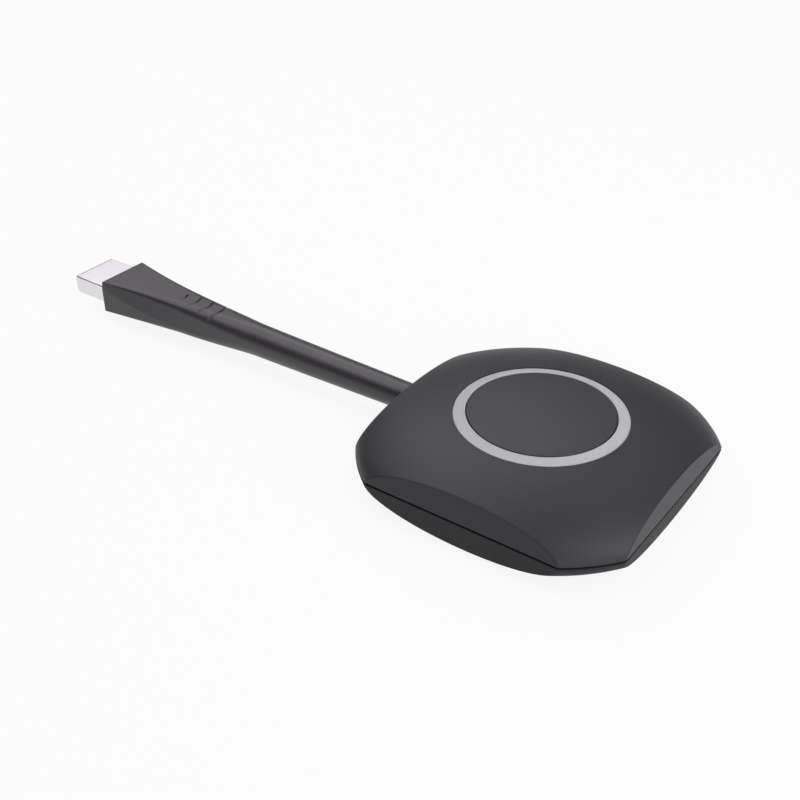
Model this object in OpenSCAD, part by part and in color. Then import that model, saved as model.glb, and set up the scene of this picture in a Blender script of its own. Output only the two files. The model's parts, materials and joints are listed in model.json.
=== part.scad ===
// Wireless presentation dongle: a domed square puck with a push button and a light ring,
// and a stiff moulded tail that ends in a USB plug.
// The origin lies on the button's axis at table height, +Y points along the tail to the
// plug, and +Z points up. All sizes are in millimetres and all angles in degrees.

/* [Body] */
// Width of the square body across its side facets, at the seam
body_w = 60; // [58:0.5:64]
// How far the rounded corners, which lie on one circle round the button, reach past the facets
corner_reach = 6.7; // [6:0.1:9]
// Height of the seam above the table
seam_z = 7; // [6.6:0.1:7.6]
// Rise of the dome above the seam
dome_rise = 9.15; // [8.8:0.05:10]
// Fullness of the dome outwards, where 2 is an ellipse
dome_spread = 2.37; // [2.2:0.01:2.6]
// Fullness of the dome upwards, where 2 is an ellipse
dome_crown = 1.71; // [1.6:0.01:2]
// Width of the flat rim that shows round the rubber foot
base_rim_w = 3; // [2:0.1:3.6]
// Fullness of the lower cover outwards
keel_spread = 2.49; // [2.3:0.01:2.7]
// Fullness of the lower cover downwards
keel_crown = 1.86; // [1.7:0.01:2.1]
// Lean of the flat side facets inwards from the seam
facet_lean = 10; // [6:0.5:13]
// Wall thickness of both covers
wall = 1.6; // [1.3:0.05:1.8]
// Width of the dark reveal that runs round the seam
seam_gap = 0.4; // [0.2:0.05:0.6]
// Height of the lip that stands up from the lower cover into the top cover
lip_h = 1.3; // [0.9:0.1:1.6]

/* [Button and light ring] */
// Distance from the side facets, at the seam, to the light ring's outer edge
ring_margin = 12.55; // [12:0.05:13.5]
// Width of the light ring
ring_w = 2.45; // [2:0.05:2.8]
// How far the ring's outer edge lies below the dome
ring_drop = 0.28; // [0.1:0.02:0.5]
// Thickness of the ring's lip, which keeps the button in
ring_lip_t = 1.1; // [0.9:0.05:1.3]
// Width of the flange that seats the ring under the dome
ring_flange_w = 1.3; // [1:0.05:1.5]
// Gap between the button and the light ring
button_gap = 0.2; // [0.15:0.01:0.3]
// Thickness of the button's top
button_t = 1.3; // [1:0.05:1.5]
// Wall thickness of the button's skirt
skirt_t = 1.1; // [0.8:0.05:1.3]
// How far the button goes down
button_travel = 0.35; // [0.25:0.01:0.4]

/* [Tail and plug] */
// Distance from the button's axis to the front face of the plug housing
housing_y = 118.3; // [110:0.5:130]
// Wall of the plug housing at each side of the metal shell
housing_side_t = 0.8; // [0.6:0.05:1.5]
// Wall of the plug housing above and below the metal shell
housing_top_t = 1.625; // [1.4:0.025:2]
// Length over which the square housing turns into the round tail
turn_l = 44; // [38:1:50]
// Radius of the tail where the housing has become round
neck_r = 3.7; // [3.4:0.05:3.8]
// Radius of the tail where it enters the body
root_r = 3.1; // [2.9:0.05:3.3]
// How far the tail sags between the body and the housing
tail_sag = 0.3; // [0:0.05:0.5]
// Edge radius along the top of the housing, at its front face
top_edge_r = 0.4; // [0.3:0.05:0.6]
// Edge radius along the bottom of the housing, at its front face
low_edge_r = 0.3; // [0.2:0.05:0.6]
// Lean of the housing's shoulders, from the crease on each side up to the top
shoulder_lean = 15; // [10:0.5:20]
// Height of the crease above the tail's axis, at the housing's front face
crease_rise = 2.2; // [1.8:0.05:2.6]
// How far the crease dips below the tail's axis, halfway along the turn
crease_dip = 1.95; // [1.6:0.05:2.1]
// Spacing of the grip grooves along the tail
groove_pitch = 3.8; // [3.6:0.1:4.4]
// Distance from the housing's front face to the first grip groove
groove_start = 21.5; // [19:0.5:24]
// Width of a grip groove
groove_w = 0.7; // [0.5:0.05:0.9]
// Depth of a grip groove
groove_d = 0.35; // [0.2:0.05:0.5]
// Radius of the cable inside the tail
cable_r = 1.9; // [1.7:0.05:2]

/* [USB plug] */
// Width of the plug's metal shell, a standard size
usb_w = 12; // [11.8:0.05:12.2]
// Height of the plug's metal shell, a standard size
usb_h = 4.5; // [4.4:0.05:4.6]
// Length of the shell that shows in front of the housing
usb_l = 10.5; // [10:0.1:12]
// Length of the shell that is moulded into the housing
usb_rear_l = 4; // [3.5:0.1:4.5]
// Thickness of the shell's sheet metal
usb_t = 0.3; // [0.25:0.01:0.35]
// Thickness of the tongue that carries the contacts
tongue_t = 1.85; // [1.7:0.05:1.95]

/* [Foot and screws] */
// Width of the recess's rim between a screw's bore and the rubber foot's edge
foot_rim_w = 0.7; // [0.4:0.05:1.2]
// How far the foot stands below the lower cover
foot_proud = 0.5; // [0.4:0.05:0.7]
// Depth of the recess that holds the foot
foot_recess = 0.7; // [0.5:0.05:0.9]
// Gap between the guide frame and the bosses that take the housing screws
screw_gap = 1.05; // [0.6:0.05:1.4]
// Radius of a housing screw's shank
screw_r = 1; // [0.9:0.05:1.1]
// Radius of a housing screw's head
screw_head_r = 1.85; // [1.7:0.05:1.9]

/* [Circuit board] */
// Distance from the side facets, at the seam, to the edge of the square circuit board
board_margin = 7; // [6.5:0.1:7.4]
// Thickness of the circuit board
board_t = 1.2; // [1:0.05:1.4]
// Thickness of the soft pad between the chips' shield and the heat spreader
heat_pad_t = 0.42; // [0.3:0.02:0.5]
// Number of status lights under the ring
led_count = 12; // [6:1:18]
// Width of the push switch
switch_w = 6.2; // [6:0.1:6.6]
// Height of the push switch's body
switch_h = 3.3; // [3:0.05:3.4]
// Radius of the switch's stem
stem_r = 1.65; // [1.5:0.05:1.8]

/* [Hidden] */

// Overrun that lets a cut pass clean through what it cuts
over = 1;
// Clearance of a moulded or seated fit
fit = 0.05;
// Radial clearance of a sliding guide
run = 0.1;
// Clearance where a part only has to pass another
pass = 0.3;

// Body
dome_steps = 22;
keel_steps = 10;
corner_r = body_w / 2 + corner_reach;
base_z = foot_proud;
recess_z = foot_proud + foot_recess;
floor_share = 0.8;
floor_t = wall * floor_share;
floor_z = recess_z + floor_t;
lip_inset = wall / 2;
top_z = seam_z + dome_rise;

// Light ring and button
ring_or = body_w / 2 - ring_margin;
ring_ir = ring_or - ring_w;
ring_top_z = dome_z(ring_ir);
ring_edge_z = dome_z(ring_or) - ring_drop;
ring_lip_z = ring_top_z - ring_lip_t;
ring_leg_t = 1.25;
ring_leg_ir = ring_or - ring_leg_t;
ring_flange_r = ring_or + ring_flange_w;
ring_flange_t = 0.8;
ring_mid_r = ring_or - ring_leg_t / 2;
button_r = ring_ir - button_gap;
button_flange_r = ring_leg_ir - pass;
button_flange_t = 0.8;
button_flange_z = ring_lip_z - run - button_flange_t;
skirt_ir = button_r - skirt_t;
button_under_z = dome_z(skirt_ir) - button_t;
rib_t = 0.8;
rib_h = 1;
plunger_r = 2;

// Circuit board, which lies on the posts of the lower cover
spreader_t = 1;
shield_h = 1.9;
board_w = body_w - 2 * board_margin;
board_z = floor_z + spreader_t + heat_pad_t + shield_h;
board_top = board_z + board_t;
board_corner_r = 4;
switch_top = board_top + switch_h;
stem_h = 1.1;
stem_top = switch_top + stem_h;
stem_under = stem_top - 2 * stem_h;

// Guide frame
frame_t = 1.2;
frame_rise = 3;
frame_top = board_top + frame_rise;
frame_z = frame_top - frame_t;
frame_r = ring_flange_r + frame_t / 2;
collar_or = skirt_ir - run;
collar_t = 1;
collar_top = button_under_z - rib_h - button_travel - pass;
skirt_z = frame_top + button_travel + pass;
frame_boss_r = 2;
frame_boss_at = frame_r + frame_boss_r + pass;
frame_screw_r = 0.8;
frame_head_r = 1.5;
frame_head_h = 0.9;
frame_screw_l = 3.4;
frame_angles = [30, 150, 210, 330];
led_window_r = 0.95;

// Screws and bosses
boss_r = 2.5;
screw_at = frame_r + boss_r + screw_gap;
post_r = 3;
head_h = 1.3;
head_z = floor_z + head_h / 2;
bore_r = screw_head_r + pass / 2;
foot_r = screw_at + bore_r + foot_rim_w;
screw_l = 8.4;
slot_w = 0.35;
slot_d = 0.5;
head_top_share = 0.7;

// Underside of the lower cover
base_r = foot_r + base_rim_w;
keel_depth = (seam_z - base_z) / pow(1 - pow(base_r / corner_r, keel_spread), 1 / keel_crown);

// Tail
tail_z = seam_z;
tail_stations = 26;
corner_points = 7;
turn_power_w = 1.3;
turn_power_top = 3.1;
crease_power = 3.5;
anchor_t = 2;
anchor_w = 10;
anchor_h = 7.8;
anchor_y = body_w / 2 - wall / cos(facet_lean) - anchor_h / 2 * tan(facet_lean) - fit - anchor_t;
tail_end_y = anchor_y + anchor_t / 2;
brace_t = 1.2;
brace_w = 14;
brace_y = anchor_y - pass / 3 - brace_t;
cable_end_y = brace_y - over / 2;
groove_count = 4;
groove_r = 2.3;
groove_growth = 0.6;
groove_half_angle = 52;

// Plug
housing_w = usb_w + 2 * housing_side_t;
housing_h = usb_h + 2 * housing_top_t;
core_l = 8;
core_inset = 1.6;
core_w = usb_w - 2 * core_inset;
core_h = usb_h;
shell_y = housing_y - usb_rear_l;
shell_corner_r = 0.6;
shell_total_l = usb_l + usb_rear_l;
carrier_l = 5;
tongue_back = 0.5;
contact_t = 0.2;
contact_w = 1;
contact_l = 7.6;
inner_contact_x = 1;
outer_contact_x = 3.5;
window_w = 2.3;
window_l = 2.2;
window_x = 2.9;
window_back = 5.1;

// Chips on the board: their widths, lengths and places are shares of the board's width
soc_share = 0.28;
soc_x_share = -0.12;
soc_t = 1.2;
ram_shares = [0.17, 0.22];
ram_x_share = 0.16;
ram_t = 1;
flash_shares = [0.13, 0.17];
flash_x_share = -0.17;
flash_t = 0.8;
xtal = [3.2, 2.5, 0.7];
xtal_x_share = 0.165;
xtal_lid_inset = 0.25;
shield_shares = [0.58, 0.4];
shield_t = 0.2;
vent_r = 0.5;
vent_pitch = 3.4;
vent_columns = [-3 : 3];
vent_rows = [-2, 2];
pad_inset = 0.6;
heat_pad_shares = [0.44, 0.26];
spreader_shares = [0.65, 0.42];
radio_shares = [0.3, 0.22];
radio_y_share = -0.38;
radio_t = 0.8;
radio_can_shares = [0.26, 0.17];
radio_can_h = 1.4;
coil_share = 0.085;
coil_x_share = 0.38;
coil_h = 2;
led = [1.6, 0.8, 0.6];
cap = [1, 0.5, 0.5];
cap_count = 5;
cap_pitch = 2.2;
cap_x = ring_or + pass / 2;

// Antennas
aerial_l_share = 0.3;
aerial_gap = 1.15;
aerial_t = 0.3;
aerial_w = board_w / 2 - aerial_t - frame_r - aerial_gap;
aerial_h = 3.2;
aerial_leg_w = 1;
aerial_back = 4;

// Wires
socket = [10, 5, 3];
socket_back = 7.6;
socket_y = board_w / 2 - socket_back;
board_notch_y = socket_y + socket[1] / 2 + over / 2;
socket_t = 0.6;
plug_l = 5;
pin_pitch = 2;
wire_r = 0.4;
wire_rings = 12;
wire_sides = 8;
wire_offset = wire_r + pass / 2;
plug_y = socket_y - socket[1] / 2 + socket_t + fit + plug_l;
pin_z = board_z - socket[2] / 2;

shell_colour = "#4b4b4e";
button_colour = "#4e4e50";
ring_colour = "#c4c6c8";
tail_colour = "#4a484c";
metal_colour = "#d9dcde";
board_colour = "#1d4a35";
chip_colour = "#26272a";
frame_colour = "#e8e8e4";
foot_colour = "#2b2b2c";
tin_colour = "#b9bcbf";
gold_colour = "#cda54b";
pad_colour = "#9aa7b4";

// Height of the dome's outer face at radius r, and of its inner face
function dome_z(r) = seam_z + dome_rise * pow(1 - pow(r / corner_r, dome_spread), 1 / dome_crown);
function under_z(r) =
    seam_z + (dome_rise - wall) * pow(1 - pow(r / (corner_r - wall), dome_spread), 1 / dome_crown);

// Half of the body's outline, inset from the outer face and cut flat at a floor height.
// The angle t runs from the crown at 0 to the seam at 90, and back down to the floor.
function dome_points(inset) = [
    for (i = [0 : dome_steps])
        let (t = 90 * i / dome_steps)
            [(corner_r - inset) * pow(sin(t), 2 / dome_spread),
             seam_z + (dome_rise - inset) * pow(cos(t), 2 / dome_crown)]
];
function keel_end(inset, floor) =
    acos(pow((seam_z - floor) / (keel_depth - inset), keel_crown / 2));
function keel_points(inset, floor) = [
    for (i = [1 : keel_steps])
        let (t = 90 + (keel_end(inset, floor) - 90) * i / keel_steps)
            [(corner_r - inset) * pow(sin(t), 2 / keel_spread),
             seam_z - (keel_depth - inset) * pow(cos(t), 2 / keel_crown)]
];

// A block whose two opposite sides lean in from the seam, like the body's facets
module facet_block(inset, turn) {
    half = body_w / 2 - inset / cos(facet_lean);
    top = top_z + over;
    rotate([90, 0, turn])
        linear_extrude(height = 3 * body_w, center = true)
            polygon([[half, seam_z],
                     [half - (top - seam_z) * tan(facet_lean), top],
                     [-half + (top - seam_z) * tan(facet_lean), top],
                     [-half, seam_z],
                     [-half + (seam_z + over) * tan(facet_lean), -over],
                     [half - (seam_z + over) * tan(facet_lean), -over]]);
}

// The body as one solid, inset from its outer face and cut flat at a floor height
module form(inset, floor) {
    intersection() {
        rotate_extrude($fn = 96)
            polygon(concat(dome_points(inset), keel_points(inset, floor), [[0, floor]]));
        facet_block(inset, 0);
        facet_block(inset, 90);
    }
}

// Everything between two heights
module slab(low, high) {
    translate([-body_w, -body_w, low])
        cube([2 * body_w, 2 * body_w, high - low]);
}

module tube(outer, inner, low, high) {
    difference() {
        translate([0, 0, low])
            cylinder(r = outer, h = high - low, $fn = 64);
        translate([0, 0, low - over])
            cylinder(r = inner, h = high - low + 2 * over, $fn = 64);
    }
}

module pole(radius, low, high) {
    translate([0, 0, low])
        cylinder(r = radius, h = high - low, $fn = 48);
}

// A block centred on X and Y that stands on a height or hangs from it
module chip_block(size, x, y, z) {
    translate([x - size[0] / 2, y - size[1] / 2, z])
        cube(size);
}

// A chip whose width and length are shares of the board's width
function chip(shares, height) = [shares[0] * board_w, shares[1] * board_w, height];

module screw_places() {
    for (angle = [45, 135, 225, 315])
        rotate([0, 0, angle])
            translate([screw_at, 0, 0])
                children();
}

module frame_places() {
    for (angle = frame_angles)
        rotate([0, 0, angle])
            translate([frame_boss_at, 0, 0])
                children();
}

module led_places() {
    for (i = [0 : led_count - 1])
        rotate([0, 0, (i + 0.5) * 360 / led_count])
            translate([ring_mid_r, 0, 0])
                children();
}

// The round way in for the tail, along Y
module tail_hole(radius, from, to) {
    translate([0, from, tail_z])
        rotate([-90, 0, 0])
            cylinder(r = radius, h = to - from, $fn = 48);
}

// The wall inside a cover that holds the tail's anchor from behind
module brace(low, high) {
    intersection() {
        translate([-brace_w / 2, brace_y, low])
            cube([brace_w, brace_t, high - low]);
        form(wall / 2, base_z + floor_t / 2);
    }
}

module top_cover() {
    low = seam_z + seam_gap / 2;
    color(shell_colour)
        difference() {
            union() {
                difference() {
                    intersection() {
                        form(0, base_z);
                        slab(low, top_z + over);
                    }
                    form(wall, floor_z);
                    intersection() {
                        form(lip_inset, floor_z);
                        slab(low - over, seam_z + lip_h);
                    }
                }
                intersection() {
                    screw_places()
                        pole(boss_r, board_top, top_z);
                    form(wall / 2, floor_z);
                }
                intersection() {
                    frame_places()
                        pole(frame_boss_r, frame_top, top_z);
                    form(wall / 2, floor_z);
                }
                brace(low, top_z);
            }
            pole(ring_or + fit, seam_z, top_z + over);
            screw_places()
                pole(screw_r + fit / 2, board_top - over, head_z + screw_l + fit);
            frame_places()
                pole(frame_screw_r + fit / 2, frame_top - over, frame_z + frame_screw_l + fit);
            tail_hole(root_r + fit, anchor_y + anchor_t, body_w);
            tail_hole(cable_r + fit, brace_y - over, anchor_y);
        }
}

module bottom_cover() {
    high = seam_z - seam_gap / 2;
    color(shell_colour)
        difference() {
            union() {
                difference() {
                    intersection() {
                        form(0, base_z);
                        slab(-over, high);
                    }
                    form(wall, floor_z);
                }
                difference() {
                    intersection() {
                        form(lip_inset + fit, floor_z);
                        slab(seam_z - lip_h, seam_z + lip_h - fit);
                    }
                    form(wall, floor_z);
                }
                screw_places()
                    pole(post_r, recess_z + floor_t / 2, board_z);
                brace(floor_z - floor_t / 2, high);
            }
            pole(foot_r + fit, -over, recess_z);
            screw_places() {
                pole(bore_r, -over, head_z);
                pole(screw_r + pass / 2, -over, board_z + over);
            }
            tail_hole(root_r + fit, anchor_y + anchor_t, body_w);
            tail_hole(cable_r + fit, brace_y - over, anchor_y);
        }
}

module button_cap() {
    crown = [for (i = [0 : dome_steps / 2])
                let (r = button_r * i / (dome_steps / 2)) [r, dome_z(r)]];
    color(button_colour)
        union() {
            rotate_extrude($fn = 96)
                polygon(concat(crown,
                    [[button_r, button_flange_z + button_flange_t],
                     [button_flange_r, button_flange_z + button_flange_t],
                     [button_flange_r, button_flange_z],
                     [button_r, button_flange_z],
                     [button_r, skirt_z],
                     [skirt_ir, skirt_z],
                     [skirt_ir, button_under_z],
                     [0, button_under_z]]));
            pole(plunger_r, stem_top, button_under_z + fit);
            for (angle = [45, 135, 225, 315])
                rotate([0, 0, angle])
                    translate([0, -rib_t / 2, button_under_z - rib_h])
                        cube([skirt_ir + fit, rib_t, rib_h + fit]);
        }
}

module light_ring() {
    color(ring_colour)
        rotate_extrude($fn = 96)
            polygon([[ring_ir, ring_top_z],
                     [ring_or, ring_edge_z],
                     [ring_or, under_z(ring_or) - fit],
                     [ring_flange_r, under_z(ring_flange_r) - fit],
                     [ring_flange_r, under_z(ring_flange_r) - fit - ring_flange_t],
                     [ring_or, under_z(ring_or) - fit - ring_flange_t],
                     [ring_or, frame_top],
                     [ring_leg_ir, frame_top],
                     [ring_leg_ir, ring_lip_z],
                     [ring_ir, ring_lip_z]]);
}

module guide_frame() {
    color(frame_colour)
        difference() {
            union() {
                pole(frame_r, frame_z, frame_top);
                pole(collar_or, frame_z, collar_top);
                frame_places() {
                    pole(frame_boss_r + pass, frame_z, frame_top);
                    translate([frame_r - frame_boss_at - frame_boss_r, -frame_boss_r, frame_z])
                        cube([frame_boss_at - frame_r + frame_boss_r, 2 * frame_boss_r, frame_t]);
                }
            }
            pole(collar_or - collar_t, frame_z - over, collar_top + over);
            led_places()
                pole(led_window_r, frame_z - over, frame_top + over);
            frame_places()
                pole(frame_screw_r + pass / 2, frame_z - over, frame_top + over);
            screw_places()
                pole(boss_r + pass, frame_z - over, frame_top + over);
        }
}

// A pan-head screw that points up, with its head's seat at height zero
module screw(shank_r, shank_l, head_r, head_height) {
    difference() {
        union() {
            pole(shank_r, -head_height / 2, shank_l);
            rotate_extrude($fn = 48)
                polygon([[0, -head_height],
                         [head_r * head_top_share, -head_height],
                         [head_r, -head_height / 2],
                         [head_r, 0],
                         [0, 0]]);
        }
        for (turn = [0, 90])
            rotate([0, 0, turn])
                translate([-head_r / 2, -slot_w / 2, -head_height - over])
                    cube([head_r, slot_w, over + slot_d]);
    }
}

module frame_screws() {
    color(tin_colour)
        frame_places()
            translate([0, 0, frame_z])
                screw(frame_screw_r, frame_screw_l, frame_head_r, frame_head_h);
}

module housing_screws() {
    color(tin_colour)
        screw_places()
            translate([0, 0, head_z])
                screw(screw_r, screw_l, screw_head_r, head_h);
}

module foot_pad() {
    edge = foot_proud / 2;
    color(foot_colour)
        rotate_extrude($fn = 96)
            polygon([[0, 0],
                     [foot_r - edge, 0],
                     [foot_r, edge],
                     [foot_r, recess_z],
                     [0, recess_z]]);
}

module circuit_board() {
    half = board_w / 2 - board_corner_r;
    color(board_colour)
        difference() {
            translate([0, 0, board_z])
                linear_extrude(height = board_t)
                    union() {
                        square([board_w, 2 * half], center = true);
                        square([2 * half, board_w], center = true);
                        for (x = [-half, half])
                            for (y = [-half, half])
                                translate([x, y])
                                    circle(r = board_corner_r, $fn = 48);
                    }
            translate([-socket[0] / 2, board_notch_y, board_z - over])
                cube([socket[0], board_w / 2 - board_notch_y + over, board_t + 2 * over]);
            screw_places()
                pole(screw_r + pass / 2, board_z - over, board_top + over);
        }
}

module status_leds() {
    color("#f2efe0")
        led_places()
            union() {
                translate([-led[1] / 2, -led[0] / 2, board_top])
                    cube([led[1], led[0], led[2] / 2]);
                translate([-led[1] / 2, -led[0] / 4, board_top])
                    cube([led[1], led[0] / 2, led[2]]);
            }
}

module switch_base() {
    color(chip_colour)
        difference() {
            union() {
                chip_block([switch_w, switch_w, switch_h / 4], 0, 0, board_top);
                chip_block([switch_w - pass, switch_w - pass, switch_h], 0, 0, board_top);
            }
            pole(stem_r + run, stem_under - button_travel - pass, switch_top + over);
        }
}

module switch_stem() {
    color("#e6e2d8")
        pole(stem_r, stem_under, stem_top);
}

module system_chip() {
    color(chip_colour)
        chip_block(chip([soc_share, soc_share], soc_t), soc_x_share * board_w, 0, board_z - soc_t);
}

module memory_chip() {
    color(chip_colour)
        chip_block(chip(ram_shares, ram_t), ram_x_share * board_w, 0, board_z - ram_t);
}

module flash_chip() {
    color(chip_colour)
        chip_block(chip(flash_shares, flash_t), flash_x_share * board_w, 0, board_top);
}

module crystal() {
    lid = [xtal[0] - 2 * xtal_lid_inset, xtal[1] - 2 * xtal_lid_inset, xtal[2]];
    color(tin_colour)
        union() {
            chip_block([xtal[0], xtal[1], xtal[2] / 2], xtal_x_share * board_w, 0, board_top);
            chip_block(lid, xtal_x_share * board_w, 0, board_top);
        }
}

module capacitors() {
    color("#b08d62")
        for (side = [-1, 1])
            for (i = [0 : cap_count - 1])
                chip_block(cap, side * cap_x, -i * cap_pitch, board_top);
}

module power_inductors() {
    color("#3a3b3d")
        for (side = [-1, 1])
            chip_block(chip([coil_share, coil_share], coil_h), side * coil_x_share * board_w, 0,
                       board_z - coil_h);
}

module chip_shield() {
    size = chip(shield_shares, shield_h);
    low = board_z - shield_h;
    color(tin_colour)
        difference() {
            chip_block(size, 0, 0, low);
            chip_block([size[0] - 2 * shield_t, size[1] - 2 * shield_t, shield_h],
                       0, 0, low + shield_t);
            for (x = vent_columns)
                for (y = vent_rows)
                    translate([x * vent_pitch, y * vent_pitch, 0])
                        pole(vent_r, low - over, low + shield_t + over);
        }
}

module chip_pad() {
    low = board_z - shield_h + shield_t;
    side = soc_share * board_w - 2 * pad_inset;
    color(pad_colour)
        chip_block([side, side, board_z - soc_t - low], soc_x_share * board_w, 0, low);
}

module thermal_pad() {
    color(pad_colour)
        chip_block(chip(heat_pad_shares, heat_pad_t), 0, 0, floor_z + spreader_t);
}

module heat_spreader() {
    color(tin_colour)
        chip_block(chip(spreader_shares, spreader_t), 0, 0, floor_z);
}

module radio_module() {
    color(board_colour)
        chip_block(chip(radio_shares, radio_t), 0, radio_y_share * board_w, board_z - radio_t);
}

module radio_shield() {
    color(tin_colour)
        chip_block(chip(radio_can_shares, radio_can_h), 0, radio_y_share * board_w,
                   board_z - radio_t - radio_can_h);
}

// A stamped antenna: a flat arm on two legs, folded from one strip
module antenna(side) {
    edge = board_w / 2 - aerial_t;
    length = aerial_l_share * board_w;
    start = -length / 2;
    color(gold_colour)
        union() {
            translate([side > 0 ? edge - aerial_w : -edge, start, board_top + aerial_h - aerial_t])
                cube([aerial_w, length, aerial_t]);
            for (y = [start, start + aerial_back])
                translate([side > 0 ? edge - aerial_t : -edge, y, board_top])
                    cube([aerial_t, aerial_leg_w, aerial_h]);
        }
}

module antenna_left() {
    antenna(-1);
}

module antenna_right() {
    antenna(1);
}

// The socket hangs under the board with its mouth towards the tail
module wire_socket() {
    color("#e9e6da")
        difference() {
            chip_block(socket, 0, socket_y, board_z - socket[2]);
            translate([-socket[0] / 2 + socket_t, socket_y - socket[1] / 2 + socket_t,
                       board_z - socket[2] + socket_t])
                cube([socket[0] - 2 * socket_t, socket[1] + over, socket[2] - 2 * socket_t]);
        }
}

module wire_plug() {
    low = board_z - socket[2] + socket_t + fit;
    front = socket_y - socket[1] / 2 + socket_t + fit;
    color("#e9e6da")
        translate([-socket[0] / 2 + socket_t + fit, front, low])
            cube([socket[0] - 2 * (socket_t + fit), plug_l, socket[2] - 2 * (socket_t + fit)]);
}

// Centre of a wire, from its place in the cable's end at share 0 to its pin at share 1
function wire_at(from, pin, share) =
    let (blend = (1 - cos(180 * share)) / 2)
        [from[0] + (pin - from[0]) * blend,
         cable_end_y + (plug_y - cable_end_y) * share,
         from[1] + (pin_z - from[1]) * blend];

// Slope of a wire at a share of its way, which is level at both ends
function wire_slope(from, share) =
    atan((from[1] - pin_z) * PI / 2 * sin(180 * share) / (cable_end_y - plug_y));

module wire(from, pin) {
    rings = [for (i = [0 : wire_rings])
                let (centre = wire_at(from, pin, i / wire_rings),
                     slope = wire_slope(from, i / wire_rings))
                    [for (k = [0 : wire_sides - 1])
                        let (angle = 360 * k / wire_sides)
                            centre + wire_r * [cos(angle), -sin(angle) * sin(slope),
                                               sin(angle) * cos(slope)]]];
    skin = tube_faces(wire_rings, wire_sides);
    polyhedron(points = [for (ring = rings) for (point = ring) point], faces = skin);
}

// Faces of a tube of rings along Y that run from +Y to -Y, with both ends closed
function tube_faces(steps, sides) = concat(
    [[for (k = [0 : sides - 1]) k]],
    [for (i = [0 : steps - 1])
        for (k = [0 : sides - 1])
            let (a = i * sides + k, b = i * sides + (k + 1) % sides)
                [a, a + sides, b + sides]],
    [for (i = [0 : steps - 1])
        for (k = [0 : sides - 1])
            let (a = i * sides + k, b = i * sides + (k + 1) % sides)
                [a, b + sides, b]],
    [[for (k = [sides - 1 : -1 : 0]) steps * sides + k]]);

module wire_red() {
    color("#b3261e")
        wire([-wire_offset, tail_z + wire_offset], -1.5 * pin_pitch);
}

module wire_white() {
    color("#e8e8e8")
        wire([-wire_offset, tail_z - wire_offset], -0.5 * pin_pitch);
}

module wire_green() {
    color("#2f7d3b")
        wire([wire_offset, tail_z - wire_offset], 0.5 * pin_pitch);
}

module wire_black() {
    color("#1b1b1c")
        wire([wire_offset, tail_z + wire_offset], 1.5 * pin_pitch);
}

module cable_core() {
    color("#3c3c3e")
        tail_hole(cable_r, cable_end_y, shell_y - core_l);
}

// Right half of the tail's section at a distance behind the housing's front face, counted
// from the top: a rounded upper edge, a shoulder that leans out to the crease, an upright
// side and a rounded lower edge. Towards the body it turns into a half circle.
function tail_half(back, inset) =
    let (turn = min(back / turn_l, 1),
         rest = 1 - turn,
         along = max(0, (back - turn_l) / (housing_y - body_w / 2 - turn_l)),
         round_r = neck_r + (root_r - neck_r) * min(along, 1) - inset,
         half_w = round_r + (housing_w / 2 - neck_r) * pow(rest, turn_power_w),
         half_h = round_r + (housing_h / 2 - neck_r) * rest,
         lean = shoulder_lean * rest,
         crease = crease_rise * pow(rest, crease_power) - crease_dip * sin(180 * turn),
         top_r = max(top_edge_r - inset, fit) * rest + round_r * pow(turn, turn_power_top),
         low_r = min(low_edge_r * rest + round_r * turn, half_h + crease - fit),
         edge_z = half_h - top_r,
         edge_x = half_w - (top_r + (edge_z - crease) * sin(lean)) / cos(lean))
        concat([for (i = [1 : corner_points])
                    let (angle = 90 - (90 - lean) * (i - 0.5) / corner_points)
                        [edge_x + top_r * cos(angle), edge_z + top_r * sin(angle)]],
               [[half_w, crease]],
               [for (i = [1 : corner_points])
                    let (angle = -90 * (i - 0.5) / corner_points)
                        [half_w - low_r + low_r * cos(angle), low_r - half_h + low_r * sin(angle)]]);

// One whole section, counted from the bottom over the +X side, at the height of the sag there
function tail_ring(back, inset) =
    let (half = tail_half(back, inset),
         last = len(half) - 1,
         axis_z = tail_z - tail_sag * sin(180 * min(back / (housing_y - body_w / 2), 1)))
        concat([for (i = [last : -1 : 0]) [half[i][0], housing_y - back, axis_z + half[i][1]]],
               [for (i = [0 : last]) [-half[i][0], housing_y - back, axis_z + half[i][1]]]);

module tail_form(inset) {
    length = housing_y - tail_end_y;
    sides = 4 * corner_points + 2;
    rings = [for (i = [0 : tail_stations]) tail_ring(length * i / tail_stations, inset)];
    polyhedron(points = [for (ring = rings) for (point = ring) point],
               faces = tube_faces(tail_stations, sides));
}

// Upright walls of the grip grooves: arcs that curve away from the plug and grow longer
module groove_walls() {
    for (i = [0 : groove_count - 1]) {
        radius = groove_r + i * groove_growth;
        translate([0, housing_y - groove_start - i * groove_pitch + radius, tail_z])
            rotate([0, 0, 270 - groove_half_angle])
                rotate_extrude(angle = 2 * groove_half_angle, $fn = 96)
                    translate([radius - groove_w / 2, 0])
                        square([groove_w, housing_h]);
    }
}

module tail_sleeve() {
    color(tail_colour)
        difference() {
            union() {
                tail_form(0);
                translate([-anchor_w / 2, anchor_y, tail_z - anchor_h / 2])
                    cube([anchor_w, anchor_t, anchor_h]);
            }
            difference() {
                groove_walls();
                tail_form(groove_d);
            }
            tail_hole(cable_r + fit / 2, anchor_y - over, shell_y - core_l + over);
            translate([0, shell_y - core_l - fit, 0])
                plug_section(core_w + fit, core_h + fit, core_l + 2 * fit);
            translate([0, shell_y - fit, 0])
                plug_section(usb_w + fit, usb_h + fit, usb_rear_l + over);
        }
}

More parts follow.
